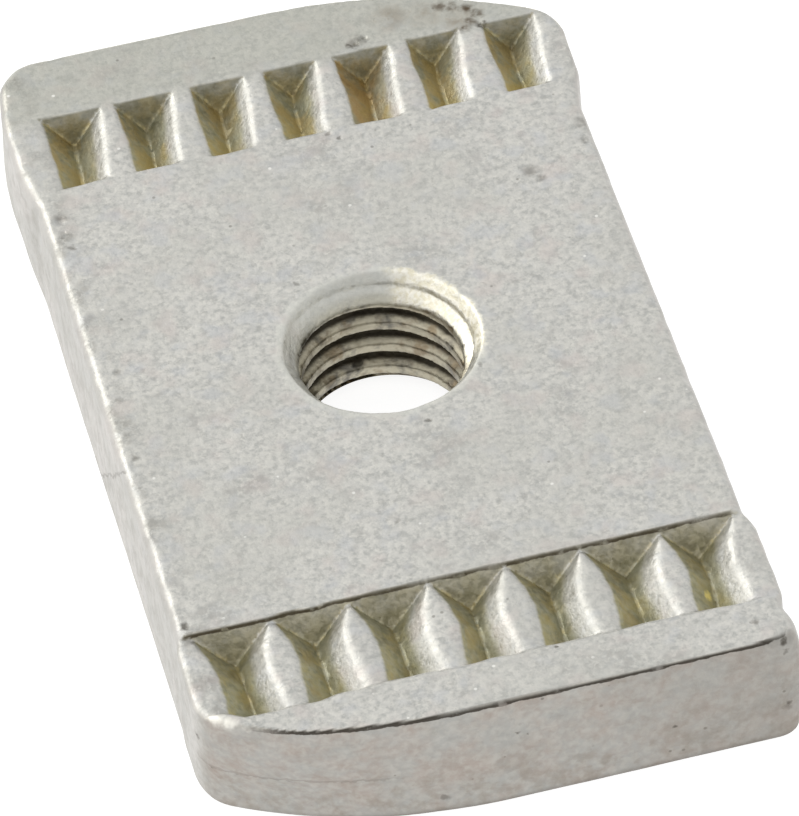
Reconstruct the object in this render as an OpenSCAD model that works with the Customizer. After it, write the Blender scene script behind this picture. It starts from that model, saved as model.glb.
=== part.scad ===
// Strut channel nut: one press-formed, drilled and tapped steel blank.
// Frame: X is the width, Y the length, Z the thickness.  The origin is on the
// hole axis in the flat back face; the toothed face points to +Z.

/* [Blank] */
// width across the straight middle of the blank (X)
body_w = 18.4; // [17.8:0.1:19.2]
// overall length, across both ends (Y)
body_l = 32.8; // [31.6:0.1:34.0]
// thickness from the back face to the toothed face (Z)
body_t = 4.6; // [4.2:0.1:6.0]
// how far the metal stands out at each side beside the grooves
bulge = 0.32; // [0.1:0.01:0.4]
// radius of the two small corners (far left and near right)
corner_r = 1.0; // [0.6:0.1:1.8]
// rounding of the long edges round the toothed face
top_edge = 0.4; // [0.2:0.05:0.5]
// rounding of the long edges, and bevel of the ends, round the back face
back_edge = 0.3; // [0.15:0.05:0.5]
// bevel of the crisp end edges of the toothed face
end_edge = 0.1; // [0.05:0.01:0.3]

/* [Toothed grooves] */
// number of V notches in each groove
notches = 7; // [3:1:7]
// slope of the V flanks (depth per half width)
flank_slope = 1.05; // [0.9:0.05:1.3]
// run of the sloping end walls for each millimetre of depth
wall_run = 0.45; // [0.2:0.05:0.6]

/* [Far groove] */
// centre of the far groove from the hole axis
far_y = 11.8; // [11.5:0.05:12.1]
// width of the far groove, across its two top edges
far_w = 3.4; // [3.2:0.05:3.7]
// spacing of its notches
far_pitch = 2.49; // [2.4:0.01:2.5]
// shift of the row of notches along X
far_shift = 0.2; // [-0.2:0.05:0.2]
// depth of its notches at the outer wall
far_depth = 1.05; // [0.9:0.05:1.2]
// depth of its notches at the inner wall
far_depth_in = 0.85; // [0.7:0.05:1.0]

/* [Near groove] */
// centre of the near groove from the hole axis
near_y = 12.45; // [12.2:0.05:12.6]
// width of the near groove, across its two top edges
near_w = 3.75; // [3.5:0.05:3.9]
// spacing of its notches
near_pitch = 2.48; // [2.4:0.01:2.5]
// drop of the tooth crests below the toothed face
near_drop = 0.14; // [0.05:0.01:0.25]
// depth of its notches at the inner wall, below the crests
near_depth = 1.3; // [1.1:0.05:1.3]
// depth of its notches at mid width, where the teeth are broadest
near_depth_mid = 0.85; // [0.7:0.05:1.0]
// depth of its notches at the outer wall
near_depth_out = 1.0; // [0.8:0.05:1.15]

/* [Tapped hole] */
// diameter of the bore at the thread crests (M6 x 1)
bore_d = 5.3; // [5.0:0.05:5.4]
// diameter of the countersink at the toothed face
sink_d = 6.5; // [6.0:0.1:7.4]
// depth of the countersink at the toothed face
sink_h = 0.8; // [0.5:0.05:1.0]
// diameter of the small 90 degree countersink at the back face
back_sink_d = 6.1; // [5.6:0.1:6.6]

/* [Hidden] */
steel = [0.76, 0.76, 0.74];
hw = body_w / 2;
hl = body_l / 2;
turn_r = hl + 0.03;
back_sink_h = (back_sink_d - bore_d) / 2;
// where the sides start to stand out beside each groove, and over what length
far_start = far_y - 2.6;
near_start = near_y - 1.95;
taper = 1.1;

// What a rounding of radius r takes off a corner at the origin of a body that
// lies towards +X and +Y.
module corner_2d(r)
    difference() {
        translate([-1, -1]) square(1 + r * 0.96);
        translate([r * 0.96, r * 0.96]) circle(r = r, $fn = 64);
    }

// Section across X: half width h, rounded at the four long edges.
module section(h)
    difference() {
        translate([-h, 0]) square([2 * h, body_t]);
        for (m = [0, 1]) mirror([m, 0]) {
            translate([-h, 0]) corner_2d(back_edge);
            translate([-h, body_t]) mirror([0, 1]) corner_2d(top_edge);
        }
    }

// A bar of that section, from y0 to y1.
module bar(h, y0, y1)
    translate([0, y1, 0]) rotate([90, 0, 0])
        linear_extrude(height = y1 - y0) section(h);

// The wider metal beside a groove that starts at y0, drawn towards +Y.
module wide_end(y0) {
    rise = bulge / taper;
    back = (top_edge + 0.02) / rise;
    intersection() {
        bar(hw + bulge, y0 - back, hl + 1);
        translate([0, 0, -1]) linear_extrude(height = body_t + 2)
            polygon([[-(hw - rise * (back + 1)), y0 - back - 1],
                     [hw - rise * (back + 1), y0 - back - 1],
                     [hw + rise * 3, y0 + 3], [hw + rise * 3, hl + 2],
                     [-(hw + rise * 3), hl + 2], [-(hw + rise * 3), y0 + 3]]);
    }
}

// Section across Y: flat ends, crisp at the toothed face.
module end_limits()
    rotate([90, 0, 90]) linear_extrude(height = body_w + 8, center = true)
        polygon([[-(hl - back_edge - 1), -1], [hl - back_edge - 1, -1],
                 [hl, back_edge], [hl, body_t - end_edge],
                 [hl - end_edge - 1, body_t + 1], [-(hl - end_edge - 1), body_t + 1],
                 [-hl, body_t - end_edge], [-hl, back_edge]]);

// What stands outside the turning arc in the +X +Y corner.
module turning_cut()
    difference() {
        translate([0, 0, -1]) cube([hw + 3, hl + 3, body_t + 2]);
        rotate_extrude($fn = 180)
            polygon([[0, -2], [turn_r - back_edge - 2, -2], [turn_r, back_edge],
                     [turn_r, body_t - end_edge], [turn_r - end_edge - 2, body_t + 2],
                     [0, body_t + 2]]);
    }

// The rounding of the small corner towards -X +Y.
module corner_cut()
    translate([-hw - bulge, hl, -1]) mirror([0, 1, 0])
        linear_extrude(height = body_t + 2) corner_2d(corner_r);

module blank()
    difference() {
        intersection() {
            union() {
                bar(hw, -hl - 1, hl + 1);
                wide_end(far_start);
                rotate([0, 0, 180]) wide_end(near_start);
            }
            end_limits();
        }
        for (a = [0, 180]) rotate([0, 0, a]) {
            turning_cut();
            corner_cut();
        }
    }

// A row of V notches.  They are d deep at y = 0 and rise, or sink, towards -Y
// to the depth d2 at y = -run.
module notch_row(pitch, d, d2, run)
    for (i = [0 : notches - 1])
        translate([(i - (notches - 1) / 2) * pitch, 0, 0])
            rotate([-atan((d - d2) / run), 0, 0]) translate([0, 1.5, -d])
                rotate([90, 0, 0]) linear_extrude(height = 7.5)
                    polygon([[0, 0], [3.2 / flank_slope, 3.2], [-3.2 / flank_slope, 3.2]]);

// The space between the two sloping end walls of a groove w wide.
module between_walls(w)
    rotate([90, 0, 90]) linear_extrude(height = body_w + 4, center = true)
        polygon([[-w / 2 - wall_run, 1], [-w / 2 + wall_run * 2, -2],
                 [w / 2 - wall_run * 2, -2], [w / 2 + wall_run, 1]]);

module far_groove()
    intersection() {
        translate([far_shift, far_w / 2, 0])
            notch_row(far_pitch, far_depth, far_depth_in, far_w);
        between_walls(far_w);
    }

module near_groove()
    intersection() {
        union() {
            translate([0, near_w / 2, -near_drop])
                notch_row(near_pitch, near_depth, near_depth_mid, near_w / 2);
            translate([0, near_w / 2, -near_drop])
                notch_row(near_pitch, 2 * near_depth_mid - near_depth_out, near_depth_mid, near_w / 2);
            translate([-hw - 1, -near_w, -near_drop]) cube([body_w + 2, 2 * near_w, 3]);
        }
        between_walls(near_w);
    }

// The hole: bore at the thread crests with a countersink at each face.
module hole() {
    translate([0, 0, -1])
        cylinder(h = body_t + 2, d = bore_d, $fn = 96);
    translate([0, 0, body_t - sink_h])
        cylinder(h = sink_h * 2, d1 = bore_d, d2 = 2 * sink_d - bore_d, $fn = 96);
    translate([0, 0, -1])
        cylinder(h = back_sink_h + 1, d1 = back_sink_d + 2, d2 = bore_d, $fn = 96);
}

module nut_body()
    color(steel)
    difference() {
        blank();
        translate([0, far_y, body_t]) far_groove();
        translate([0, -near_y, body_t]) near_groove();
        hole();
    }

nut_body();
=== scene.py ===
import bpy
import math
import numpy as np
from mathutils import Matrix, Vector


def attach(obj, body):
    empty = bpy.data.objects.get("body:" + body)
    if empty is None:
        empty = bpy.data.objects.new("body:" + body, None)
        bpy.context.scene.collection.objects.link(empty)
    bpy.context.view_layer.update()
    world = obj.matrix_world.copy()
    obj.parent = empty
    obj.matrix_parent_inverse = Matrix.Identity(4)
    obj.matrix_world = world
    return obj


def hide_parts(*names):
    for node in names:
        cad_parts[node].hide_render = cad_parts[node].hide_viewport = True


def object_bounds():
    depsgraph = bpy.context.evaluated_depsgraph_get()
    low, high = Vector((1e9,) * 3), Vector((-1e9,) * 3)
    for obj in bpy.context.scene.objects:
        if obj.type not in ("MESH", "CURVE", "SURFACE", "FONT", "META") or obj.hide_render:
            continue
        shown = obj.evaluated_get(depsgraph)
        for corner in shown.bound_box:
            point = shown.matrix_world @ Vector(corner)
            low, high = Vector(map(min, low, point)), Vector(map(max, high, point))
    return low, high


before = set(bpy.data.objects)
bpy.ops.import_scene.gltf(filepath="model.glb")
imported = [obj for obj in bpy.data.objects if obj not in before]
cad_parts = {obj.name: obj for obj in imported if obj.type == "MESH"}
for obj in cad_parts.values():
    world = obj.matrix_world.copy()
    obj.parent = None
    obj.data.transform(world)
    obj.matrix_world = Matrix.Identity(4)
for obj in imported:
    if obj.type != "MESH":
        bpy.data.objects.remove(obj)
cad_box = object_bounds()

# ---------------------------------------------------------------- sizes (mm)
HW = 9.12          # half width of the straight middle
HL = 16.36         # half length
T = 4.585          # top face
R_CREST, R_ROOT, LEAD = 2.625, 3.03, 1.0
SINK_R, SINK_RUN = 3.23, 0.72      # countersink at the toothed face


# ---------------------------------------------------------------- noise
class Noise:
    """Value noise on a repeating lattice, smooth, from about -1 to 1."""

    def __init__(self, seed, n=32):
        self.n = n
        self.g = np.random.default_rng(seed).uniform(-1, 1, (n, n, n)).astype(np.float32)

    @staticmethod
    def _cell(v, n):
        i = np.floor(v).astype(np.int32)
        f = v - i
        return i % n, (i + 1) % n, f * f * (3 - 2 * f)

    def two(self, x, y, scale, layer=0):
        g = self.g[:, :, layer % self.n]
        i0, i1, f = self._cell(np.asarray(x, np.float32) / np.float32(scale), self.n)
        j0, j1, h = self._cell(np.asarray(y, np.float32) / np.float32(scale), self.n)
        return (g[i0, j0] * (1 - h) + g[i0, j1] * h) * (1 - f) + (g[i1, j0] * (1 - h) + g[i1, j1] * h) * f

    def three(self, x, y, z, scale):
        g, n, q = self.g, self.n, np.float32(scale)
        i0, i1, f = self._cell(x / q, n)
        j0, j1, h = self._cell(y / q, n)
        k0, k1, w = self._cell(z / q, n)
        a = (g[i0, j0, k0] * (1 - w) + g[i0, j0, k1] * w) * (1 - h)
        a = a + (g[i0, j1, k0] * (1 - w) + g[i0, j1, k1] * w) * h
        b = (g[i1, j0, k0] * (1 - w) + g[i1, j0, k1] * w) * (1 - h)
        b = b + (g[i1, j1, k0] * (1 - w) + g[i1, j1, k1] * w) * h
        return a * (1 - f) + b * f


N1, N2, N3, N4 = Noise(11), Noise(12), Noise(13), Noise(14)


def sstep(a, b, x):
    t = np.clip((x - a) / (b - a), 0, 1)
    return t * t * (3 - 2 * t)


def hump(x, c, w):
    return np.exp(-((x - c) / w) ** 2)


def rmax(a, b, r):
    """Larger of two distances, with the edge between them rounded to radius r."""
    u = np.maximum(a + r, 0)
    v = np.maximum(b + r, 0)
    return np.minimum(np.maximum(a, b), -r) + np.sqrt(u * u + v * v)


def rmin(a, b, r):
    return -rmax(-a, -b, r)


# ---------------------------------------------------------------- the shape
def outline(x, y, z):
    """Distance to the side walls, below 0 inside."""
    mid = 1 - ((z - 2.2) / 2.4) ** 2                       # fullest at half thickness
    high = sstep(0.6, 3.8, z)
    up = 0.45 + 0.55 * sstep(0.0, 3.6, z)
    # the pressed grooves push the sides out beside them, most at the top
    far_band = sstep(8.7, 10.6, y) * sstep(15.6, 13.2, y)
    near_band = sstep(-10.4, -11.35, y) * sstep(-14.9, -14.0, y)
    push_r = 0.34 * far_band * up + 0.22 * near_band * up + 0.06 * sstep(11.5, 13.0, y)
    push_r = push_r + sstep(-14.3, -15.4, y) * (0.16 + 0.22 * mid)
    push_l = 0.26 * sstep(9.3, 11.2, y) * sstep(15.8, 13.4, y) * (0.35 + 0.65 * sstep(0.5, 3.2, z)) + 0.12 * near_band * up + 0.05 * sstep(12.5, 14.5, np.abs(y)) * (1 - high)
    wob_r = 0.010 * N1.two(y, z, 2.6) + 0.006 * N2.two(y, z, 0.9)
    wob_l = 0.010 * N1.two(y, z, 2.6, 7) + 0.006 * N2.two(y, z, 0.9, 7)
    side_r = x - (HW - 0.10 + push_r + 0.03 * mid) + wob_r
    side_l = -x - np.minimum(HW + 0.165 - 0.11 * high + push_l + 0.03 * mid, 9.49) + wob_l
    endw = 0.007 * N3.two(x, z, 2.8) + 0.003 * N2.two(x, z, 0.8, 3)
    # far end and the arc of the far right corner, about the hole axis
    far = np.hypot(np.maximum(x, 0), np.maximum(y, 0)) - HL + endw
    # near end: the arc of the near left corner leans out towards the top
    ax = -1.45 * high
    ay = -1.0 * high
    rr = HL - high * 1.0 - 0.01 + 0.10 * (1 - high) * sstep(-2.0, -5.0, x) + 0.16 * high * hump(x, -6.6, 1.9)
    near = np.hypot(np.maximum(ax - x, 0), np.maximum(ay - y, 0)) - rr + endw
    d = rmax(side_r, far, 0.95)
    d = rmax(d, near, 0.80)
    e = rmax(side_l, far, 1.25)
    e = rmax(e, near, 0.90)
    return rmax(d, e, 0.3)


def top_level(x, y):
    """Height of the flat land, with the small sags that a press leaves."""
    h = T - 0.012 + 0.010 * N3.two(x, y, 3.4) + 0.004 * N1.two(x, y, 1.1)
    return np.minimum(h, T)


def groove_void(x, y, z, far_y, width, x0, pitch, step, slope, spans, near_line, tilt, soft, seed):
    """Distance to one groove's empty space, below 0 inside it.

    The groove is a row of seven V notches that share one sloping far wall.  spans
    gives the distance from the far wall's top edge and the half width that is left
    flat between two notches there.
    """
    s = far_y - y                                          # from the far edge towards the viewer
    xs = x + 0.05 * N4.two(x, s, 1.5, seed)
    lean = tilt * s
    i = np.clip(np.round((xs - x0 - lean) / pitch), -3, 3)
    jit_x = 0.07 * N4.two(i * 5.3, s * 0, 1.0, seed + 1)
    jit_w = 0.05 * N4.two(i * 3.1, s * 0, 1.0, seed + 2) + 0.03 * N3.two(i * 2.3, s, 0.9, seed)
    level = T - step
    half = pitch / 2 - np.interp(s, spans[0], spans[1]).astype(np.float32) - jit_w

    def notch(k, jx):
        u = xs - x0 - lean - k * pitch - jx
        return (np.abs(u) - half - (z - level) / slope) * (slope / math.hypot(1, slope))

    d = notch(i, jit_x)
    j = np.clip(i + np.where(xs - x0 - lean > i * pitch, 1, -1), -3, 3)
    d = rmin(d, notch(j, jit_x), 0.05)
    # the far wall and the hidden near wall
    run = 0.45
    c, q = 1 / math.hypot(1, run), run / math.hypot(1, run)
    edge = 0.030 * N3.two(x, s * 0, 0.7, seed + 4) + 0.035 * N1.two(x, s * 0, 2.6, seed + 5)
    farw = (-s + edge) * c + (level - z) * q
    wide = np.interp(x, *near_line).astype(np.float32)
    nearw = (s - width - wide + edge * 1.5) * c + (T - z) * q
    d = rmax(d, farw, 0.03)
    # the whole band sits a little below the land
    if step > 0.02:
        band = rmax((level - z) * 1.0 + 0.02 * N2.two(x, s, 0.8, seed), -s + edge, 0.02)
        band = rmax(band, np.abs(x) - 9.6, 0.02)
        d = rmin(d, band, 0.03 + soft * sstep(0.15, 0.7, s))
    return rmax(d, nearw, 0.06)


NEAR = dict(far_y=-10.60, width=3.74, x0=0.02, pitch=2.483, step=0.14, slope=1.04,
            spans=([0.0, 0.12, 0.9, 1.8, 2.6, 3.75], [-0.02, 0.02, 0.31, 0.42, 0.37, 0.26]),
            near_line=([-9.2, -8.4, -7.9, -7.0, -5.5, -4.2, -3.0, -1.5, 9.0],
                       [-0.30, -0.22, 0.10, 0.16, 0.10, -0.02, -0.10, -0.06, -0.04]),
            tilt=0.0, soft=0.15, seed=1)
FAR = dict(far_y=13.52, width=3.42, x0=0.20, pitch=2.49, step=0.0, slope=1.06,
           spans=([0.0, 1.0, 2.2, 3.4], [0.24, 0.30, 0.40, 0.44]),
           near_line=([-9, 9], [0.0, 0.0]), tilt=-0.06, soft=0.11, seed=11)


def hole_void(x, y, z):
    rho = np.hypot(x, y)
    phi = np.arctan2(y, x)
    t = (z / LEAD - phi / (2 * np.pi)) + 0.50             # right-hand thread
    dz = np.abs(t - np.floor(t) - 0.5) * LEAD
    rag = 0.018 * N2.three(x, y, z, 0.45) + 0.012 * N4.three(x, y, z, 0.2)
    r = np.clip(R_ROOT - np.maximum(dz - 0.07, 0) * 1.60, R_CREST, R_ROOT) + rag
    r = np.where(z < 0.35, np.minimum(r, R_CREST + 0.10), r)
    bore = (rho - r) * 0.65
    c = math.sqrt(0.5)
    sink = (np.hypot(x - 0.05, y - 0.04) - SINK_R + (T - z) * SINK_RUN) / math.hypot(1, SINK_RUN) + 0.015 * N1.two(x, y, 0.8) + 0.008 * N2.two(x, y, 0.25)
    sink_b = (rho - 3.07 + z) * c
    d = rmin(bore, sink, 0.05)
    return rmin(d, sink_b, 0.04)


# small dents in the toothed face: x, y, radius, depth
DENTS = [(-8.62, 8.60, 0.22, 0.10), (-8.60, 8.05, 0.16, 0.08), (-8.45, 7.25, 0.14, 0.08),
         (6.60, 6.20, 0.22, 0.06), (6.84, 5.72, 0.16, 0.05), (2.62, 13.90, 0.16, 0.12),
         (2.98, 14.06, 0.14, 0.11), (0.75, 9.93, 0.16, 0.08), (1.05, 9.62, 0.12, 0.07),
         (8.74, 7.85, 0.22, 0.10), (8.66, 7.05, 0.14, 0.08), (-8.78, -10.2, 0.16, 0.10),
         (6.80, 13.62, 0.18, 0.12), (4.55, 14.9, 0.35, 0.06), (5.5, 14.5, 0.3, 0.06)]


def solid(p):
    x, y, z = (np.asarray(p[..., i], np.float32) for i in range(3))
    o = outline(x, y, z)
    top = z - top_level(x, y)
    # edge rounding: soft along the sides, crisp along the near end
    r_far = 0.27 * sstep(13.6, 15.0, np.hypot(np.maximum(x, 0), y) * np.sign(y)) * sstep(-8.9, -7.8, x)
    corner = sstep(7.6, 8.9, x) * sstep(-13.6, -14.6, y)
    r_near = 0.21 * sstep(-14.0, -15.2, y) * (1 - corner)
    ragged = 0.06 * N4.two(x, y, 0.55) + 0.03 * N2.two(x, y, 0.27)
    r_top = np.clip(0.36 - r_far - r_near + 0.15 * corner + ragged * (1 - r_near / 0.21), 0.10, 0.7)
    d = rmax(o, top, r_top)
    d = rmax(d, -z, 0.32)
    # dents and a nick along the edges and on the land
    for px, py, pr, pd in DENTS:
        q = (x - px) ** 2 + (y - py) ** 2
        d = np.maximum(d, z - (T - pd * np.exp(-q / (pr * pr)) + 0.02))
    out = d.ravel()
    fx, fy, fz = x.ravel(), y.ravel(), z.ravel()
    for spec in (FAR, NEAR):
        lo, hi = spec["far_y"] - spec["width"] - 0.8, spec["far_y"] + 0.8
        m = (fy > lo) & (fy < hi) & (fz > 2.2)
        if m.any():
            soft = 0.03 + spec["soft"] * sstep(0.10, 0.55, spec["far_y"] - fy[m])
            out[m] = rmax(out[m], -groove_void(fx[m], fy[m], fz[m], **spec), soft)
    m = np.hypot(fx, fy) < 4.6
    if m.any():
        out[m] = rmax(out[m], -hole_void(fx[m], fy[m], fz[m]), 0.05)
    return out.reshape(d.shape)


# ---------------------------------------------------------------- the mesh
def sample(f, ax, block=8):
    """The distance on a grid, worked out only in the blocks the surface passes."""
    n = [len(a) for a in ax]
    step = float(ax[0][1] - ax[0][0])
    nb = [-(-m // block) for m in n]
    mids = [np.array([a[min(i * block + block // 2, len(a) - 1)] for i in range(b)], np.float32)
            for a, b in zip(ax, nb)]
    coarse = f(np.stack(np.meshgrid(*mids, indexing="ij"), -1))
    v = np.repeat(np.repeat(np.repeat(coarse, block, 0), block, 1), block, 2)[:n[0], :n[1], :n[2]].copy()
    near = np.abs(coarse) < step * block * 1.25
    mask = np.repeat(np.repeat(np.repeat(near, block, 0), block, 1), block, 2)[:n[0], :n[1], :n[2]]
    idx = np.argwhere(mask)
    for i in range(0, len(idx), 400000):
        k = idx[i:i + 400000]
        p = np.stack([ax[0][k[:, 0]], ax[1][k[:, 1]], ax[2][k[:, 2]]], -1)
        v[k[:, 0], k[:, 1], k[:, 2]] = f(p)
    return v


def surface_net(f, lo, hi, h):
    n = [int(round((b - a) / h)) + 1 for a, b in zip(lo, hi)]
    ax = [(a + h * np.arange(m)).astype(np.float32) for a, m in zip(lo, n)]
    v = sample(f, ax)
    ins = v < 0
    shape = tuple(m - 1 for m in n)
    size = int(np.prod(shape))
    acc = np.zeros((3, size), np.float64)
    cnt = np.zeros(size, np.float64)
    cross = []
    for a in range(3):
        s0 = [slice(None)] * 3
        s1 = [slice(None)] * 3
        s0[a] = slice(0, -1)
        s1[a] = slice(1, None)
        v0, v1 = v[tuple(s0)], v[tuple(s1)]
        m = ins[tuple(s0)] != ins[tuple(s1)]
        idx = np.argwhere(m)
        pos = idx.astype(np.float32)
        pos[:, a] += v0[m] / (v0[m] - v1[m])
        b, c = [k for k in range(3) if k != a]
        for db in (0, -1):
            for dc in (0, -1):
                cell = idx.copy()
                cell[:, b] += db
                cell[:, c] += dc
                ok = ((cell >= 0) & (cell < np.array(shape))).all(1)
                flat = np.ravel_multi_index(cell[ok].T, shape)
                cnt += np.bincount(flat, minlength=size)
                for k in range(3):
                    acc[k] += np.bincount(flat, weights=pos[ok, k], minlength=size)
        cross.append((a, b, c, idx, ins[tuple(s0)][m]))
    has = cnt > 0
    ids = np.full(size, -1, np.int64)
    ids[has] = np.arange(int(has.sum()))
    ids = ids.reshape(shape)
    p = (acc[:, has] / cnt[has]).T
    quads = []
    for a, b, c, idx, first_in in cross:
        cells = []
        ok = np.ones(len(idx), bool)
        for db, dc in ((-1, -1), (0, -1), (0, 0), (-1, 0)):
            cell = idx.copy()
            cell[:, b] += db
            cell[:, c] += dc
            ok &= ((cell >= 0) & (cell < np.array(shape))).all(1)
            cells.append(cell)
        q = np.stack([ids[tuple(np.clip(cc, 0, np.array(shape) - 1).T)] for cc in cells], 1)[ok]
        flip = first_in[ok] if a != 1 else ~first_in[ok]
        quads.append(np.where(flip[:, None], q, q[:, ::-1]))
    return p * h + np.array(lo), np.concatenate(quads)


def gradient(f, p, e=0.02):
    g = np.empty_like(p)
    for k in range(3):
        d = np.zeros(3, np.float32)
        d[k] = e
        g[:, k] = (f(p + d) - f(p - d)) / (2 * e)
    return g


def settle(f, p, h, rounds=3):
    start = p.copy()
    for _ in range(rounds):
        v = f(p)
        g = gradient(f, p)
        g2 = np.maximum((g * g).sum(1), 0.05)
        p = p - np.clip(v / g2, -h, h)[:, None] * g
        p = start + np.clip(p - start, -0.9 * h, 0.9 * h)
    return p


H = 0.10
pts, quads = surface_net(solid, (-9.75, -16.65, -0.15), (9.75, 16.65, 4.80), H)
pts = settle(solid, pts.astype(np.float32), H)
lo_mm = np.array(cad_box[0]) * 1000
hi_mm = np.array(cad_box[1]) * 1000
print("net", len(pts), len(quads), "box", pts.min(0), pts.max(0), "cad", lo_mm, hi_mm)
pts = np.clip(pts, lo_mm, hi_mm)

me = bpy.data.meshes.new("nut_body_surface")
me.vertices.add(len(pts))
me.vertices.foreach_set("co", (pts.astype(np.float64) / 1000).ravel())
me.loops.add(len(quads) * 4)
me.loops.foreach_set("vertex_index", quads.ravel().astype(np.int32))
me.polygons.add(len(quads))
me.polygons.foreach_set("loop_start", np.arange(0, len(quads) * 4, 4, dtype=np.int32))
me.polygons.foreach_set("loop_total", np.full(len(quads), 4, np.int32))
me.update(calc_edges=True)
me.validate()
nut = bpy.data.objects.new("nut_body_surface", me)
bpy.context.scene.collection.objects.link(nut)

# down to the triangle budget, flats first
mod = nut.modifiers.new("dec", "DECIMATE")
mod.ratio = min(1.0, 192000 / (2 * len(quads)))
mod.use_collapse_triangulate = True
nut.modifiers.new("tri", "TRIANGULATE")
dg = bpy.context.evaluated_depsgraph_get()
dec = bpy.data.meshes.new_from_object(nut.evaluated_get(dg))
nut.modifiers.clear()
nut.data = dec
bpy.data.meshes.remove(me)
me = dec
me.name = "nut_body_surface"
print("decimated", len(me.vertices), len(me.polygons))

# ---------------------------------------------------------------- masks held on the vertices
nv = len(me.vertices)
co = np.empty(nv * 3, np.float32)
me.vertices.foreach_get("co", co)
co = co.reshape(-1, 3) * 1000
g = gradient(solid, co, 0.03)
nrm = g / np.maximum(np.linalg.norm(g, axis=1), 1e-6)[:, None]


def curvature(p, n, r):
    """Above 0 on an outer edge, below 0 in a corner."""
    t1 = np.cross(n, np.array([0.31, 0.87, 0.38], np.float32))
    t1 /= np.maximum(np.linalg.norm(t1, axis=1), 1e-6)[:, None]
    t2 = np.cross(n, t1)
    s = 0
    for k in range(8):
        a = 2 * np.pi * k / 8
        s = s + solid(p + (t1 * np.cos(a) + t2 * np.sin(a)) * r)
    return s / 8 / r


edge = np.clip(curvature(co, nrm, 0.16), -1, 1)
x, y, z = co.T
deep_in = sstep(-0.10, -0.35, outline(x, y, z))


def band(spec):
    s_ = spec["far_y"] - y
    return sstep(-0.15, 0.0, s_) * sstep(spec["width"] + 0.15, spec["width"] - 0.05, s_) * sstep(2.2, 2.7, z)


depth = T - z
shaded_flank = sstep(-0.05, 0.35, nrm[:, 0])                       # flanks that face +X get more painted shade in the notches
near_pit = np.maximum(shaded_flank * sstep(0.17, 0.42, depth) + (1 - shaded_flank) * 0.70 * sstep(0.40, 1.05, depth),
                      sstep(0.95, 1.25, depth))
far_pit = np.maximum(shaded_flank * sstep(0.03, 0.28, depth) + (1 - shaded_flank) * 0.55 * sstep(0.15, 0.60, depth),
                     sstep(0.60, 0.90, depth))
# pit mask: olive film plus painted shade that deepens down the notches
pit = (band(NEAR) * near_pit + band(FAR) * far_pit) * deep_in
# notch flanks that face -X, towards the light; they get a painted lighter tint
lit_flank = (band(NEAR) + band(FAR)) * sstep(0.15, 0.50, -nrm[:, 0]) * deep_in
# groove walls that face -Y, towards the viewer; they get painted shade below
wall = (band(NEAR) + band(FAR)) * sstep(0.25, 0.60, -nrm[:, 1]) * sstep(0.0, 0.04, depth) * deep_in
far_side = sstep(-2, 2, y)
rho = np.hypot(x, y)
bore = sstep(3.35, 3.2, rho) * sstep(0.50, 0.75, depth)
root = bore * sstep(R_CREST + 0.05, R_ROOT - 0.03, rho) * sstep(0.40, 0.60, z)
end_face = sstep(0.15, 0.50, -nrm[:, 1]) * (1 - deep_in) * sstep(-11.5, -12.5, y)
side = sstep(0.45, 0.75, np.abs(nrm[:, 0])) * (1 - deep_in) * (1 - end_face)


def put(name, values):
    a = me.attributes.new(name, "FLOAT", "POINT")
    a.data.foreach_set("value", np.ascontiguousarray(values, np.float32))


for name, values in (("edge", edge), ("pit", pit), ("wall", wall), ("lit_flank", lit_flank),
                     ("bore", bore), ("root", root), ("end_face", end_face), ("side", side)):
    put(name, values)
me.polygons.foreach_set("use_smooth", np.ones(len(me.polygons), bool))

# ---------------------------------------------------------------- UVs: flat charts, and one unrolled for the hole
nf = len(me.polygons)
tri = np.empty(nf * 3, np.int32)
me.loops.foreach_get("vertex_index", tri)
tri = tri.reshape(-1, 3)
pc = co[tri].mean(1)
fn = np.cross(co[tri[:, 1]] - co[tri[:, 0]], co[tri[:, 2]] - co[tri[:, 0]])
fn /= np.maximum(np.linalg.norm(fn, axis=1), 1e-9)[:, None]
S = 1 / 51.2                                             # 20 pixels a millimetre in 1024
uv = np.zeros((nf, 3, 2), np.float32)
cr = np.hypot(pc[:, 0], pc[:, 1])
is_hole = (cr < 3.12) & (pc[:, 2] < T - 0.36) & (pc[:, 2] > 0.30)
inner = outline(pc[:, 0], pc[:, 1], pc[:, 2]) < -0.30
is_top = ~is_hole & ((fn[:, 2] > 0.5) | (inner & (pc[:, 2] > 2.4)))
is_bot = ~is_hole & ~is_top & ((fn[:, 2] < -0.5) | inner)
is_side = ~(is_hole | is_top | is_bot)
ex = is_side & (np.abs(fn[:, 0]) > np.abs(fn[:, 1]))
ey = is_side & ~ex
P = co[tri]


def chart(mask, u, v, u0, v0):
    uv[mask, :, 0] = (u[mask] + u0) * S
    uv[mask, :, 1] = (v[mask] + v0) * S


chart(is_top, P[..., 1], P[..., 0], 16.8, 9.8)           # 33 x 19
chart(is_bot, P[..., 1], P[..., 0], 16.8, 29.6)
chart(ex & (fn[:, 0] > 0), P[..., 1], P[..., 2], 16.8, 39.6)
chart(ex & (fn[:, 0] <= 0), P[..., 1], P[..., 2], 16.8, 44.9)
chart(ey & (fn[:, 1] > 0), P[..., 2], P[..., 0], 34.2, 9.8)
chart(ey & (fn[:, 1] <= 0), P[..., 2], P[..., 0], 39.6, 9.8)
ang = np.arctan2(P[..., 1], P[..., 0])
mid = np.arctan2(pc[:, 1], pc[:, 0])[:, None]
ang = mid + (ang - mid + np.pi) % (2 * np.pi) - np.pi
chart(is_hole, P[..., 2], (ang + np.pi) * 2.8, 45.2, 0.8)
layer = me.uv_layers.new(name="OFBake")
layer.data.foreach_set("uv", uv.ravel())

# ---------------------------------------------------------------- material
mat = bpy.data.materials.new("zinc_steel_surface")
mat.use_nodes = True
nt = mat.node_tree
nt.nodes.clear()


def node(kind, **kw):
    n = nt.nodes.new(kind)
    for k, v in kw.items():
        setattr(n, k, v)
    return n


def link(a, b):
    nt.links.new(a, b)


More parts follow.
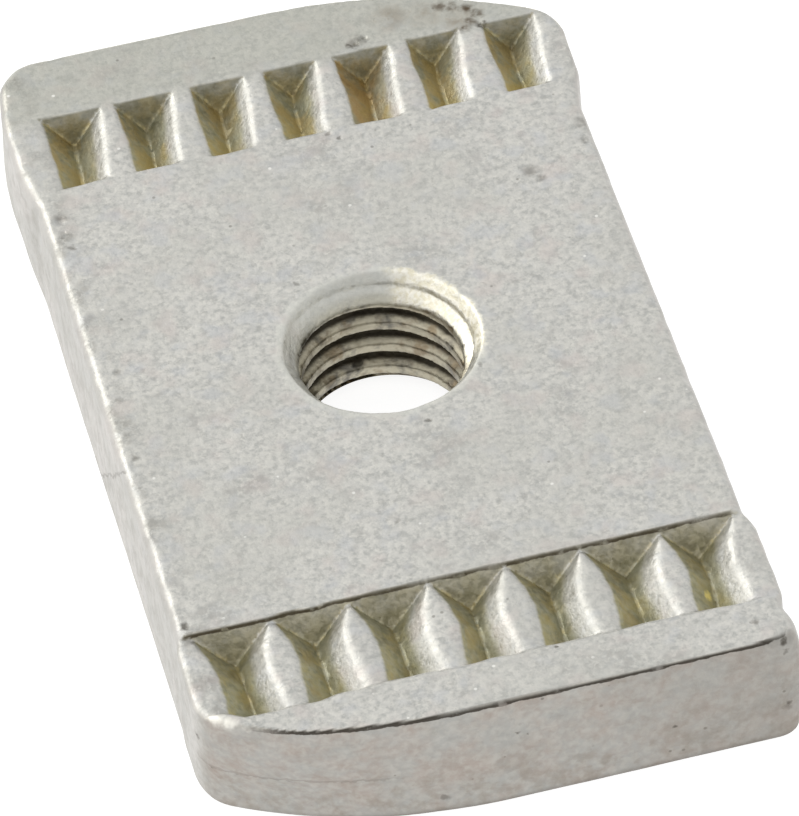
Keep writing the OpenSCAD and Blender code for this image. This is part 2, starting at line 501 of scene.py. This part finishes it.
def put_in(sock, v):
    if isinstance(v, bpy.types.NodeSocket):
        link(v, sock)
    elif v is not None:
        sock.default_value = v


def math_(op, a, b=None, c=None, clamp=False):
    n = node("ShaderNodeMath", operation=op, use_clamp=clamp)
    for s, v in zip(n.inputs, (a, b, c)):
        put_in(s, v)
    return n.outputs[0]


def ramp(v, a, b, c=0.0, d=1.0, smooth=True):
    n = node("ShaderNodeMapRange", interpolation_type="SMOOTHSTEP" if smooth else "LINEAR", clamp=True)
    for s, w in zip(n.inputs[:5], (v, a, b, c, d)):
        put_in(s, w)
    return n.outputs[0]


def mix(fac, a, b):
    n = node("ShaderNodeMix", data_type="RGBA")
    put_in(n.inputs[0], fac)
    put_in(n.inputs[6], a)
    put_in(n.inputs[7], b)
    return n.outputs[2]


def rgb(r, g_, b):
    """A colour as it looks on screen, 0 to 255, made linear."""
    def lin(c):
        c /= 255
        return c / 12.92 if c <= 0.04045 else ((c + 0.055) / 1.055) ** 2.4
    return (lin(r), lin(g_), lin(b), 1.0)


tc = node("ShaderNodeTexCoord")
vec = node("ShaderNodeVectorMath", operation="SCALE")
link(tc.outputs["Object"], vec.inputs[0])
vec.inputs["Scale"].default_value = 1000.0               # millimetres
mm = vec.outputs[0]
xyz = node("ShaderNodeSeparateXYZ")
link(mm, xyz.inputs[0])
X, Y, Z = xyz.outputs


def noise(scale, detail=3.0, rough=0.5, dist=0.0, vec_=None):
    n = node("ShaderNodeTexNoise", noise_dimensions="3D")
    link(vec_ or mm, n.inputs["Vector"])
    n.inputs["Scale"].default_value = scale
    n.inputs["Detail"].default_value = detail
    n.inputs["Roughness"].default_value = rough
    n.inputs["Distortion"].default_value = dist
    return n.outputs[0]


def attr(name):
    n = node("ShaderNodeAttribute", attribute_name=name)
    return n.outputs["Fac"]


a_edge, a_lit_flank, a_pit, a_wall = attr("edge"), attr("lit_flank"), attr("pit"), attr("wall")
a_bore, a_root, a_end, a_side = attr("bore"), attr("root"), attr("end_face"), attr("side")


def mul(*v):
    out = v[0]
    for w in v[1:]:
        out = math_("MULTIPLY", out, w)
    return out


def top_of(*v):
    out = v[0]
    for w in v[1:]:
        out = math_("MAXIMUM", out, w)
    return out


fine = noise(6.0, 2, 0.6)
fine2 = noise(4.1, 2, 0.5, 0.4)
mott = noise(1.7, 3, 0.6)
broad = noise(0.22, 2, 0.5)
hue_a = noise(0.9, 2, 0.5)
hue_b = noise(1.15, 2, 0.5)
blot = noise(0.75, 3, 0.65)
blotch = noise(1.5, 3, 0.7)
line_n = noise(2.3, 3, 0.6)
# coordinates shaken a little, so the listed marks have ragged outlines
shake = node("ShaderNodeTexNoise", noise_dimensions="3D")
link(mm, shake.inputs["Vector"])
shake.inputs["Scale"].default_value = 4.0
shake.inputs["Detail"].default_value = 2.0
sh1 = node("ShaderNodeVectorMath", operation="SUBTRACT")
link(shake.outputs["Color"], sh1.inputs[0])
sh1.inputs[1].default_value = (0.5, 0.5, 0.5)
sh2 = node("ShaderNodeVectorMath", operation="MULTIPLY_ADD")
link(sh1.outputs[0], sh2.inputs[0])
sh2.inputs[1].default_value = (0.35, 0.35, 0.35)
link(mm, sh2.inputs[2])
shaken = sh2.outputs[0]


def spot(x, y, z, r, k=1.0, soft=0.35):
    n = node("ShaderNodeVectorMath", operation="DISTANCE")
    link(shaken, n.inputs[0])
    n.inputs[1].default_value = (x, y, z)
    return ramp(n.outputs["Value"], r, r * soft, 0.0, k)


# clean zinc: pale grey, finely mottled, with faint warm and cold patches
base = mix(ramp(fine, 0.33, 0.67, 0, 1, False), rgb(184, 185, 182), rgb(216, 215, 210))
base = mix(ramp(fine2, 0.45, 0.62, 0.0, 0.45), base, rgb(215, 214, 210))
base = mix(ramp(fine2, 0.40, 0.28, 0.0, 0.45), base, rgb(172, 172, 168))
base = mix(ramp(mott, 0.54, 0.72, 0.0, 0.34), base, rgb(220, 220, 216))
base = mix(ramp(mott, 0.44, 0.28, 0.0, 0.36), base, rgb(176, 176, 174))
base = mix(ramp(hue_a, 0.52, 0.72, 0.0, 0.35), base, rgb(209, 198, 194))
base = mix(ramp(hue_b, 0.52, 0.72, 0.0, 0.35), base, rgb(193, 197, 203))
base = mix(ramp(broad, 0.42, 0.66, 0.0, 0.30), base, rgb(194, 194, 188))

# the land beyond the far groove is a shade darker
base = mix(ramp(Y, 12.8, 14.0, 0.0, 0.42), base, rgb(170, 172, 160))

# small bright and dark flecks
vor = node("ShaderNodeTexVoronoi", feature="F1")
link(mm, vor.inputs["Vector"])
vor.inputs["Scale"].default_value = 1.35
fleck = ramp(vor.outputs["Distance"], 0.10, 0.05)
vsep = node("ShaderNodeSeparateColor")
link(vor.outputs["Color"], vsep.inputs[0])
base = mix(mul(fleck, ramp(vsep.outputs[0], 0.66, 0.70), 0.8), base, rgb(242, 242, 238))
base = mix(mul(fleck, ramp(vsep.outputs[1], 0.72, 0.76), 0.55), base, rgb(120, 118, 112))
# faint grime on the land beside the left edge and across the right
grime = mul(ramp(X, -7.9, -8.7), ramp(blot, 0.48, 0.62), ramp(fine2, 0.38, 0.55, 0.3, 1.0))
base = mix(mul(grime, 0.45), base, rgb(126, 124, 118))
streak = ramp(noise(0.35, 3, 0.7), 0.56, 0.68)
base = mix(mul(streak, ramp(fine2, 0.40, 0.60), 0.35), base, rgb(140, 139, 136))

# side faces a little pinker; the end face painted darker as shade, and dirtier
base = mix(mul(a_side, 0.70), base, mix(ramp(broad, 0.40, 0.62), rgb(180, 178, 173), rgb(194, 190, 186)))
lower = ramp(Z, 3.0, 0.8)
end_shade_and_dirt = mix(ramp(blot, 0.35, 0.70), rgb(167, 166, 162), rgb(168, 158, 150))
end_shade_and_dirt = mix(ramp(fine2, 0.35, 0.7, 0.0, 0.5), end_shade_and_dirt, rgb(186, 183, 176))
end_shade_and_dirt = mix(mul(lower, ramp(mott, 0.42, 0.64), 0.40), end_shade_and_dirt, rgb(150, 140, 128))
end_shade_and_dirt = mix(mul(fleck, ramp(vsep.outputs[2], 0.62, 0.68), 0.7), end_shade_and_dirt, rgb(104, 96, 86))
end_shade_and_dirt = mix(ramp(X, 1.0, 8.0, 0.0, 0.35), end_shade_and_dirt, rgb(140, 136, 129))
base = mix(mul(a_end, 0.92), base, end_shade_and_dirt)
# faint step line at half height on the left of the end face
step_line = mul(ramp(math_("ABSOLUTE", math_("SUBTRACT", Z, math_("MULTIPLY_ADD", fine2, 0.3, 1.88))), 0.09, 0.02),
                ramp(X, -2.5, -4.8), a_end)
base = mix(mul(step_line, 0.35), base, rgb(120, 114, 106))
# dark foot along the bottom edge of the end face
base = mix(mul(ramp(Z, 0.42, 0.05), a_end, ramp(X, -8.5, -3.0, 0.35, 0.75)), base, rgb(112, 106, 98))

# olive and yellow film in the notches, painted darker with depth as shade in the recesses
olive_film_and_shade = mix(ramp(blotch, 0.38, 0.62), rgb(140, 139, 110), rgb(172, 163, 114))
olive_film_and_shade = mix(ramp(fine2, 0.36, 0.64, 0.0, 0.5), olive_film_and_shade, rgb(182, 178, 150))
olive_film_and_shade = mix(mul(ramp(Y, 0.0, 1.0), ramp(blot, 0.42, 0.58), 0.9), olive_film_and_shade, rgb(172, 152, 92))
pit_n = math_("MULTIPLY", math_("ADD", a_pit, math_("MULTIPLY_ADD", mott, 0.5, -0.25)), 1.0, clamp=True)
fifth = mul(ramp(math_("ABSOLUTE", math_("SUBTRACT", X, 2.75)), 1.15, 0.85), ramp(Y, 9.0, 10.0))
olive_film_and_shade = mix(mul(fifth, ramp(blotch, 0.34, 0.58, 0.35, 0.85)), olive_film_and_shade, rgb(168, 134, 66))
olive_film_and_shade = mix(mul(ramp(Y, 11.9, 10.4), ramp(Y, 0.0, 1.0), ramp(hue_a, 0.40, 0.62)), olive_film_and_shade, rgb(178, 160, 88))
# painted light: notch flanks facing the light are tinted lighter
olive_film_and_shade = mix(mul(a_lit_flank, ramp(hue_b, 0.40, 0.60, 0.25, 0.7)), olive_film_and_shade, rgb(168, 169, 150))
base = mix(ramp(pit_n, 0.06, 0.55, 0.0, 0.86), base, olive_film_and_shade)
base = mix(mul(ramp(pit_n, 0.85, 1.1), ramp(hue_a, 0.44, 0.60), 0.5), base, rgb(176, 152, 84))
# walls facing the viewer painted darker as shade, over an olive film
wall_film_and_shade = mix(ramp(fine2, 0.38, 0.62), rgb(158, 153, 130), rgb(190, 184, 160))
wall_film_and_shade = mix(ramp(Y, 0.0, 1.0, 0.0, 0.85), wall_film_and_shade, mix(ramp(blotch, 0.40, 0.62), rgb(116, 112, 88), rgb(148, 138, 104)))
base = mix(mul(a_wall, ramp(mott, 0.30, 0.70, 0.6, 0.95)), base, wall_film_and_shade)

# inner corners and notch edges darkened brown as painted shade with dirt; the dark line under the lip of the near end
# is painted shade
base = mix(mul(ramp(a_edge, -0.10, -0.50), ramp(mott, 0.36, 0.60, 0.2, 1.0), 0.6), base, rgb(96, 82, 52))
gold = mul(ramp(a_edge, -0.06, -0.25), ramp(Z, T - 0.25, T - 0.5), ramp(line_n, 0.50, 0.60))
base = mix(mul(gold, 0.35), base, rgb(216, 200, 146))
lip_w = math_("MULTIPLY_ADD", line_n, 0.16, T - 0.225)
lip_shade_line = mul(ramp(math_("SUBTRACT", Z, lip_w), 0.0, 0.03), a_end, ramp(line_n, 0.28, 0.42, 0.55, 1.0), ramp(X, -8.3, -6.6))
base = mix(mul(lip_shade_line, 0.9), base, rgb(60, 54, 46))
# a dark line along the top of the near groove's far wall
wall_line = mul(ramp(math_("SUBTRACT", Z, lip_w), -0.03, 0.01), a_wall, ramp(line_n, 0.30, 0.46, 0.45, 1.0), ramp(Y, 0, -1), ramp(X, 8.9, 8.3))
base = mix(mul(wall_line, 0.9), base, rgb(66, 56, 38))

# bare, bright metal on the outer edges, with a painted highlight
not_lip = math_("SUBTRACT", 1.0, top_of(lip_shade_line, wall_line), clamp=True)
worn_edge_highlight = mul(ramp(a_edge, 0.16, 0.42), ramp(line_n, 0.40, 0.58, 0.15, 1.0), not_lip)
base = mix(mul(worn_edge_highlight, 0.70), base, rgb(240, 236, 222))

# threads: mottled bore colour; the roots painted dark as shade
base = mix(mul(a_bore, 0.75), base, mix(ramp(mott, 0.36, 0.60), mix(ramp(blot, 0.42, 0.56), rgb(136, 114, 72), rgb(84, 77, 60)), rgb(196, 188, 162)))
# darker on the left half of the bore
base = mix(mul(a_bore, ramp(X, -0.4, -2.2), ramp(mott, 0.56, 0.40, 0.2, 0.7)), base, rgb(76, 74, 60))
# darker towards the bottom of the bore
base = mix(mul(a_bore, ramp(Z, 0.62, 0.30), 0.7), base, rgb(78, 68, 50))
base = mix(spot(-0.30, 2.75, 1.0, 0.30, 0.85), base, rgb(24, 20, 15))
# the thread roots painted dark as shade
base = mix(mul(ramp(math_("ADD", a_root, math_("MULTIPLY_ADD", mott, 0.9, -0.45)), 0.15, 0.75), 0.92), base, rgb(44, 38, 27))
# the countersink ring is lightened; its right half carries a painted cream highlight
angle = math_("ARCTAN2", Y, X)
radius = node("ShaderNodeVectorMath", operation="LENGTH")
flat = node("ShaderNodeCombineXYZ")
link(X, flat.inputs[0])
link(Y, flat.inputs[1])
link(flat.outputs[0], radius.inputs[0])
rr_ = math_("MULTIPLY_ADD", math_("SUBTRACT", mott, 0.5), 0.8, radius.outputs["Value"])
cone_highlight = mul(ramp(rr_, 3.44, 3.30), ramp(rr_, 2.55, 2.65), ramp(Z, T - 1.0, T - 0.8),
           ramp(angle, -0.60, -0.15), ramp(math_("MULTIPLY_ADD", mott, 0.35, angle), 1.50, 1.26))
ring = mul(ramp(rr_, 3.50, 3.30), ramp(rr_, 2.55, 2.65), ramp(Z, T - 1.0, T - 0.8))
base = mix(mul(ring, 0.5), base, rgb(220, 221, 214))
base = mix(mul(cone_highlight, 0.85), base, mix(ramp(fine, 0.36, 0.62), rgb(232, 226, 204), rgb(250, 247, 236)))

# listed marks
brown = top_of(spot(4.0, 14.8, T, 0.95, 0.60, 0.1), spot(5.1, 14.5, T, 0.85, 0.60, 0.1), spot(6.2, 14.0, T, 0.75, 0.75, 0.1))
smear = top_of(spot(5.75, 14.75, T, 0.34, 0.8, 0.1), spot(6.15, 14.60, T, 0.32, 0.9, 0.1), spot(6.55, 14.42, T, 0.34, 1.0, 0.1),
               spot(6.85, 14.05, T, 0.34, 1.0, 0.1), spot(6.55, 13.75, T, 0.32, 0.9, 0.1), spot(6.25, 13.50, T, 0.34, 0.9, 0.1))
base = mix(mul(brown, ramp(blotch, 0.43, 0.58), 0.6), base, rgb(126, 112, 94))
base = mix(mul(smear, ramp(line_n, 0.34, 0.54, 0.35, 1.0)), base, rgb(92, 80, 64))
base = mix(mul(brown, 0.30), base, rgb(160, 148, 132))
# the left side is greyer and blotched
base = mix(mul(ramp(X, -8.95, -9.15), ramp(Z, T - 0.15, T - 0.5), ramp(blotch, 0.42, 0.60, 0.05, 0.50)), base, rgb(168, 166, 160))
marks = top_of(
    spot(-8.52, 8.70, T, 0.36, 0.5, 0.1), spot(-8.60, 7.90, T, 0.34, 0.5, 0.1), spot(-8.50, 7.25, T, 0.20, 0.4, 0.1),
    spot(-8.33, 1.23, T, 0.24, 0.35, 0.1), spot(-8.55, 0.0, T, 0.24, 0.4, 0.1), spot(-8.65, -1.62, T, 0.22, 0.4, 0.1), spot(-8.68, -2.62, T, 0.22, 0.5, 0.1),
    spot(6.60, 6.20, T, 0.42, 0.45, 0.1), spot(6.84, 5.72, T, 0.26, 0.35, 0.1), spot(2.55, 13.86, T, 0.32, 0.85),
    spot(2.86, 14.00, T, 0.32, 0.85), spot(0.72, 9.94, T, 0.18, 0.5), spot(1.05, 9.62, T, 0.14, 0.55),
    spot(8.77, 7.88, T, 0.36, 0.4, 0.1), spot(8.66, 7.07, T, 0.24, 0.35, 0.1), spot(0.59, -3.85, T, 0.14, 0.6),
    spot(2.79, -1.94, T, 0.12, 0.5), spot(-3.14, 0.24, T, 0.12, 0.45), spot(-1.40, -7.85, T, 0.14, 0.5),
    spot(-1.95, 3.39, T, 0.16, 0.4), spot(-8.80, -10.2, T, 0.22, 0.7), spot(6.84, 13.5, T, 0.26, 0.85),
    spot(1.9, -14.5, T, 0.12, 0.7), spot(8.04, -15.3, T, 0.18, 0.5), spot(-8.81, -4.0, T, 0.12, 0.5))
marks = top_of(
    marks,
    spot(0.16, -16.35, 3.03, 0.15, 0.75), spot(0.48, -16.35, 2.93, 0.11, 0.6), spot(0.84, -16.35, 2.58, 0.10, 0.4),
    spot(2.45, -16.35, 1.73, 0.13, 0.6), spot(4.52, -16.35, 1.46, 0.12, 0.6), spot(5.11, -16.35, 1.77, 0.13, 0.65),
    spot(8.75, -16.2, 1.50, 0.26, 0.85), spot(8.72, -16.2, 3.95, 0.16, 0.6), spot(8.72, -16.1, 4.3, 0.20, 0.8),
    spot(5.95, -16.35, 2.73, 0.10, 0.35), spot(-0.29, -16.35, 2.82, 0.08, 0.4),
    spot(-9.25, -13.44, 3.12, 0.16, 0.75), spot(-8.87, -13.68, 1.97, 0.20, 0.55), spot(-8.18, -14.10, 1.96, 0.14, 0.4),
    spot(-2.24, -16.14, 0.77, 0.20, 0.45), spot(-3.5, -8.0, 9.0, 0.01, 0.0))
marks = mul(marks, ramp(line_n, 0.34, 0.56, 0.35, 1.0))
base = mix(marks, base, rgb(78, 72, 63))
# painted highlight on the rounded nose of the near left corner
nose_highlight = top_of(spot(-8.78, -14.2, T, 0.42, 0.9, 0.2), spot(-8.45, -14.55, T, 0.38, 0.8, 0.2), spot(-8.05, -15.0, T, 0.3, 0.5, 0.2))
base = mix(nose_highlight, base, rgb(246, 244, 236))
# a hairline across the left side
hair = mul(ramp(math_("ABSOLUTE", math_("ADD", math_("MULTIPLY_ADD", Z, 1.02, -1.81), math_("MULTIPLY_ADD", mott, 0.8, Y))), 0.09, 0.02),
           ramp(X, -9.0, -9.1), ramp(Z, 0.25, 0.5))
base = mix(mul(hair, 0.45), base, rgb(110, 106, 100))
# gold fleck in the last near notch
base = mix(spot(7.18, -13.1, T - 0.75, 0.26, 0.9), base, rgb(250, 232, 150))

rough_ = ramp(mott, 0.3, 0.75, 0.42, 0.56)
rough_ = math_("ADD", rough_, ramp(fine, 0.35, 0.7, -0.04, 0.06))
rough_ = math_("SUBTRACT", rough_, mul(worn_edge_highlight, 0.08))
rough_ = math_("ADD", rough_, mul(a_end, 0.10))
rough_ = math_("ADD", rough_, mul(marks, 0.15))
rough_ = math_("ADD", rough_, mul(a_bore, -0.06))

b1 = math_("ADD", math_("MULTIPLY", fine, 0.8), math_("MULTIPLY", mott, 0.9))
b1 = math_("ADD", b1, math_("MULTIPLY", fine2, 0.5))
bmp = node("ShaderNodeBump")
bmp.inputs["Strength"].default_value = 0.36
bmp.inputs["Distance"].default_value = 0.00006
link(b1, bmp.inputs["Height"])

bsdf = node("ShaderNodeBsdfPrincipled")
link(base, bsdf.inputs["Base Color"])
link(rough_, bsdf.inputs["Roughness"])
link(bmp.outputs[0], bsdf.inputs["Normal"])
bsdf.inputs["Metallic"].default_value = 0.85
outn = node("ShaderNodeOutputMaterial")
link(bsdf.outputs[0], outn.inputs[0])
me.materials.clear()
me.materials.append(mat)

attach(nut, "root")
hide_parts("nut_body")

# ---------------------------------------------------------------- floor, light, camera
fm = bpy.data.meshes.new("floor")
fm.from_pydata([(-3, -3, 0), (3, -3, 0), (3, 3, 0), (-3, 3, 0)], [], [(0, 1, 2, 3)])
floor = bpy.data.objects.new("floor", fm)
bpy.context.scene.collection.objects.link(floor)
fmat = bpy.data.materials.new("floor_white")
fmat.use_nodes = True
fb = fmat.node_tree.nodes["Principled BSDF"]
fb.inputs["Base Color"].default_value = (0.34, 0.34, 0.34, 1)
fb.inputs["Emission Color"].default_value = (1, 1, 1, 1)
fb.inputs["Emission Strength"].default_value = 0.88
fb.inputs["Roughness"].default_value = 0.9
fb.inputs["Specular IOR Level"].default_value = 0.1
fm.materials.append(fmat)

scene = bpy.context.scene
scene.view_settings.view_transform = "Standard"
scene.view_settings.look = "None"
world = bpy.data.worlds.new("studio")
scene.world = world
world.use_nodes = True
wt = world.node_tree
wt.nodes.clear()
w_out = wt.nodes.new("ShaderNodeOutputWorld")
w_bg = wt.nodes.new("ShaderNodeBackground")
wt.links.new(w_bg.outputs[0], w_out.inputs[0])
w_bg.inputs[0].default_value = (1.0, 0.995, 0.98, 1)
w_tc = wt.nodes.new("ShaderNodeTexCoord")


def w_math(op, a, b):
    n = wt.nodes.new("ShaderNodeMath")
    n.operation = op
    for sock, v in zip(n.inputs, (a, b)):
        if isinstance(v, bpy.types.NodeSocket):
            wt.links.new(v, sock)
        else:
            sock.default_value = v
    return n.outputs[0]


def lobe(az, el, power, amount):
    """A soft patch of light (or dark) on the studio wall in one direction."""
    a, e = math.radians(az), math.radians(el)
    n = wt.nodes.new("ShaderNodeVectorMath")
    n.operation = "DOT_PRODUCT"
    wt.links.new(w_tc.outputs["Generated"], n.inputs[0])
    n.inputs[1].default_value = (math.sin(a) * math.cos(e), math.cos(a) * math.cos(e), math.sin(e))
    return w_math("MULTIPLY", w_math("POWER", w_math("MAXIMUM", n.outputs["Value"], 0.0), power), amount)


strength = w_math("ADD", 0.90, lobe(190, 42, 5.0, -0.30))
strength = w_math("ADD", strength, lobe(-85, 28, 4.0, 0.75))
wt.links.new(strength, w_bg.inputs[1])


def area(name, az, el, dist, size, power, col=(1, 1, 1)):
    """A soft box in the direction az (0 = beyond the far end, + to the right), el up."""
    li = bpy.data.lights.new(name, "AREA")
    li.shape = "SQUARE"
    li.size = size
    li.energy = power
    li.color = col
    ob = bpy.data.objects.new(name, li)
    a, e = math.radians(az), math.radians(el)
    d = Vector((math.sin(a) * math.cos(e), math.cos(a) * math.cos(e), math.sin(e)))
    ob.location = d * dist
    ob.rotation_euler = (-d).to_track_quat("-Z", "Y").to_euler()
    scene.collection.objects.link(ob)
    return ob


area("key", -36, 28, 0.6, 0.26, 0.62, (1.0, 0.97, 0.90))

cam_data = bpy.data.cameras.new("photo_camera")
cam = bpy.data.objects.new("photo_camera", cam_data)
scene.collection.objects.link(cam)
scene.camera = cam
cam_data.sensor_fit = "AUTO"
cam_data.sensor_width = 36.0
cam_data.lens = 7988.45 * 36.0 / 816.0
cam_data.clip_start = 0.01
cam_data.clip_end = 10.0
CAM_POS = (-0.03304089, -0.17790075, 0.1842136)
CAM_RIGHT = (0.96758273, -0.24501311, -0.06125544)
CAM_DOWN = (-0.21644212, -0.67948819, -0.70103395)
CAM_AHEAD = (0.13014016, 0.69156661, -0.7104922)
cols = [CAM_RIGHT, [-c for c in CAM_DOWN], [-c for c in CAM_AHEAD], CAM_POS]
cam.matrix_world = Matrix([[cols[j][i] for j in range(4)] for i in range(3)] + [[0, 0, 0, 1]])
